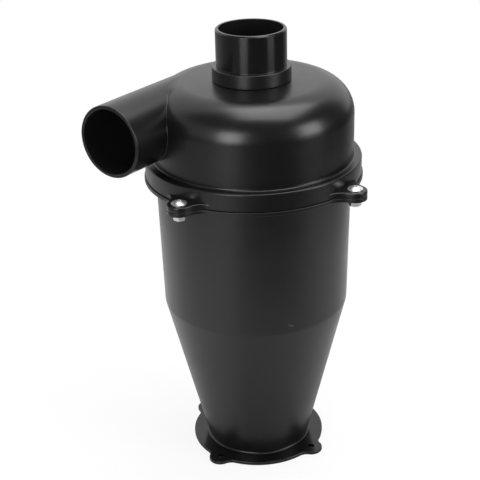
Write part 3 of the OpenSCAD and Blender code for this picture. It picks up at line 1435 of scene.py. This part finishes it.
@dataclass(frozen=True)
class Studio:
    """White floor, surroundings, lamps and camera, all in metres.

    The levels follow what the object mirrors in the photograph. The wall behind is what lies
    towards both of its sides.
    """

    wall_right: Side = Side(165.0, (-0.05, 0.09))
    wall_left: Side = Side(115.0, (-0.25, 0.3))
    wall_level: float = 0.9
    side_wall: Side = Side(-120.0, (0.75, 0.94), 0.46)
    side_wall_top: tuple[float, float] = (0.4, 0.65)
    room_level: float = 0.09
    front: Side = Side(-34.0, (0.55, 1.0))
    left: Side = Side(-108.0, (0.75, 1.0), 0.2)
    rear: Side = Side(150.0, (0.0, 0.8), 0.45)
    ahead: Falloff = Falloff(0.56, 0.52, 0.2, 0.5)
    aside: Falloff = Falloff(0.62, 0.56, 0.36, 0.76)
    floor_radius: float = 4.0
    floor_noise: float = 0.03
    glow_near: float = 0.86
    glow_gain: float = 0.14
    glow_reach: tuple[float, float] = (0.14, 0.34)
    hole_place: float = 0.0505
    hole_edge: tuple[float, float] = (0.0034, 0.0046)
    hole_glow: float = 0.024
    sensor: float = 36.0
    lens: float = 90.0
    clip: tuple[float, float] = (0.05, 20.0)
    camera_place: tuple[float, float, float] = (0.4773, -0.65646, 0.54643)
    camera_right: tuple[float, float, float] = (0.80677, 0.59044, -0.0225)
    camera_up: tuple[float, float, float] = (-0.23355, 0.35364, 0.90575)
    camera_ahead: tuple[float, float, float] = (-0.54275, 0.72548, -0.42321)
    lamps: tuple[Softbox, ...] = (
        Softbox("left_strip", -77.5, 1.0, 0.16, 0.70, 0.40, 7.1),
        Softbox("left_foot", -77.5, 1.0, 0.0, 0.16, 0.40, 1.2),
        Softbox("right_strip", 10.5, 1.0, 0.21, 0.74, 0.41, 6.1),
        Softbox("right_foot", 11.5, 1.0, 0.0, 0.21, 0.41, 0.9),
        Softbox("overhead", 35.0, 0.24, 1.35, 1.35, 1.0, 4.2),
    )

    @staticmethod
    def _seen(board: Board) -> Wire:
        """Return 1 for rays that come from the camera."""
        return board.wire("LightPath", "Is Camera Ray")

    def _beside_holes(self, board: Board, across: Wire, along: Wire) -> Wire:
        """Find the floor right under the four base holes, where it is painted black as a painted
        shadow.

        Args:
            board: Board that the nodes are added to.
            across: Distance along X from the middle.
            along: Distance along Y.

        Returns:
            0 under the holes, else 1.
        """
        size_x, size_y = (0.0 - across).larger(across), (0.0 - along).larger(along)
        outer = size_x.larger(size_y)
        inner = size_x + size_y - outer
        return board.ramp(board.length(outer - self.hole_place, inner, 0.0), *self.hole_edge)

    def world(self) -> None:
        """Light the surroundings: white to the camera, white behind and dim in front."""
        world = bpy.data.worlds.new("studio")
        bpy.context.scene.world = world
        world.use_nodes = True
        board = Board(world.node_tree)
        across, along, up = board.split(board.wire("TexCoord", "Generated"))
        place = (board, across, along, board.length(across, along, 0.0) + 0.001)
        wall = self.wall_right.share(*place) * self.wall_left.share(*place)
        side = self.side_wall.share(*place) * (1.0 - board.ramp(up, *self.side_wall_top))
        light = wall * self.wall_level + side * self.side_wall.level + self.room_level
        unlit = board.wire("Background", 0, {}, {"Strength": 0.0})
        lit = board.wire("Background", 0, {}, {"Color": (1.0, 1.0, 1.0, 1.0), "Strength": 1.0})
        surface = board.wire("MixShader", 0, {}, {
            0: light.larger(self._seen(board)), 1: unlit, 2: lit})
        board.add("OutputWorld", {}, {"Surface": surface})

    def floor_paint(self) -> bpy.types.Material:
        """Make the floor's white, which is dimmer where the object mirrors it dim.

        Returns:
            The material.
        """
        material, board = new_material("white_floor")
        across, along, _ = board.split(board.place())
        reach = board.length(board.place())
        facing, left, rear = (part.share(board, across, along, reach)
                              for part in (self.front, self.left, self.rear))
        pale = (facing * self.ahead.over(board, reach)
                + (1.0 - facing) * self.aside.over(board, reach)
                + left * self.left.level + rear * self.rear.level
                - board.noise(60.0, 3.0) * self.floor_noise)
        seen, outside_hole_shadow = self._seen(board), self._beside_holes(board, across, along)
        bright = board.ramp(reach, *self.glow_reach) * self.glow_gain + self.glow_near
        glow = seen * outside_hole_shadow.larger(self.hole_glow) * bright
        dark = board.wire("BsdfDiffuse", 0, {}, {"Color": (0.0, 0.0, 0.0, 1.0)})
        paint = board.wire("BsdfDiffuse", 0, {}, {"Color": (1.0, 1.0, 1.0, 1.0)})
        white = board.wire("Emission", 0, {}, {"Strength": 1.0})
        matt = board.wire("MixShader", 0, {}, {
            # Under the base holes the floor's white and glow are taken away, painting a black
            # shadow there.
            0: pale.larger(seen) * outside_hole_shadow, 1: dark, 2: paint})
        surface = board.wire("MixShader", 0, {}, {0: glow, 1: matt, 2: white})
        board.add("OutputMaterial", {}, {"Surface": surface})
        return material

    def floor(self) -> None:
        """Lay the floor, which keeps the shadow."""
        mesh = bmesh.new()
        bmesh.ops.create_circle(mesh, cap_ends=True, segments=96, radius=self.floor_radius)
        data = bpy.data.meshes.new("floor")
        mesh.to_mesh(data)
        mesh.free()
        data.materials.append(self.floor_paint())
        floor = bpy.data.objects.new("floor", data)
        bpy.context.scene.collection.objects.link(floor)

    def camera(self) -> None:
        """Set the camera at the photograph's angle."""
        data = bpy.data.cameras.new("camera")
        data.sensor_width, data.lens = self.sensor, self.lens
        data.clip_start, data.clip_end = self.clip
        camera = bpy.data.objects.new("camera", data)
        axes = Matrix((self.camera_right, self.camera_up, -Vector(self.camera_ahead)))
        turn = axes.transposed().to_4x4()
        camera.matrix_world = Matrix.Translation(self.camera_place) @ turn
        bpy.context.scene.collection.objects.link(camera)
        bpy.context.scene.camera = camera

    def build(self) -> None:
        """Set up everything round the object."""
        self.world()
        self.floor()
        for lamp in self.lamps:
            lamp.build()
        self.camera()
        bpy.context.scene.view_settings.view_transform = "Standard"


def main() -> None:
    """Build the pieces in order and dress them."""
    Studio().build()
    joint = Joint()
    steel = STEEL_FINISH.build()
    pieces = [
        Body(joint).build(BODY_FINISH.build()),
        Cover(joint).build(COVER_FINISH.build()),
        OutletTube().build(TUBE_FINISH.build()),
        Screws(joint).build(steel),
        Nuts(joint).build(steel),
    ]
    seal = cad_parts["seal_ring"]
    seal.data.materials.clear()
    seal.data.materials.append(RUBBER_FINISH.build())
    for piece in pieces:
        log.info("%s: %d faces", piece.name, len(piece.data.polygons))


if __name__ == "__main__":
    main()
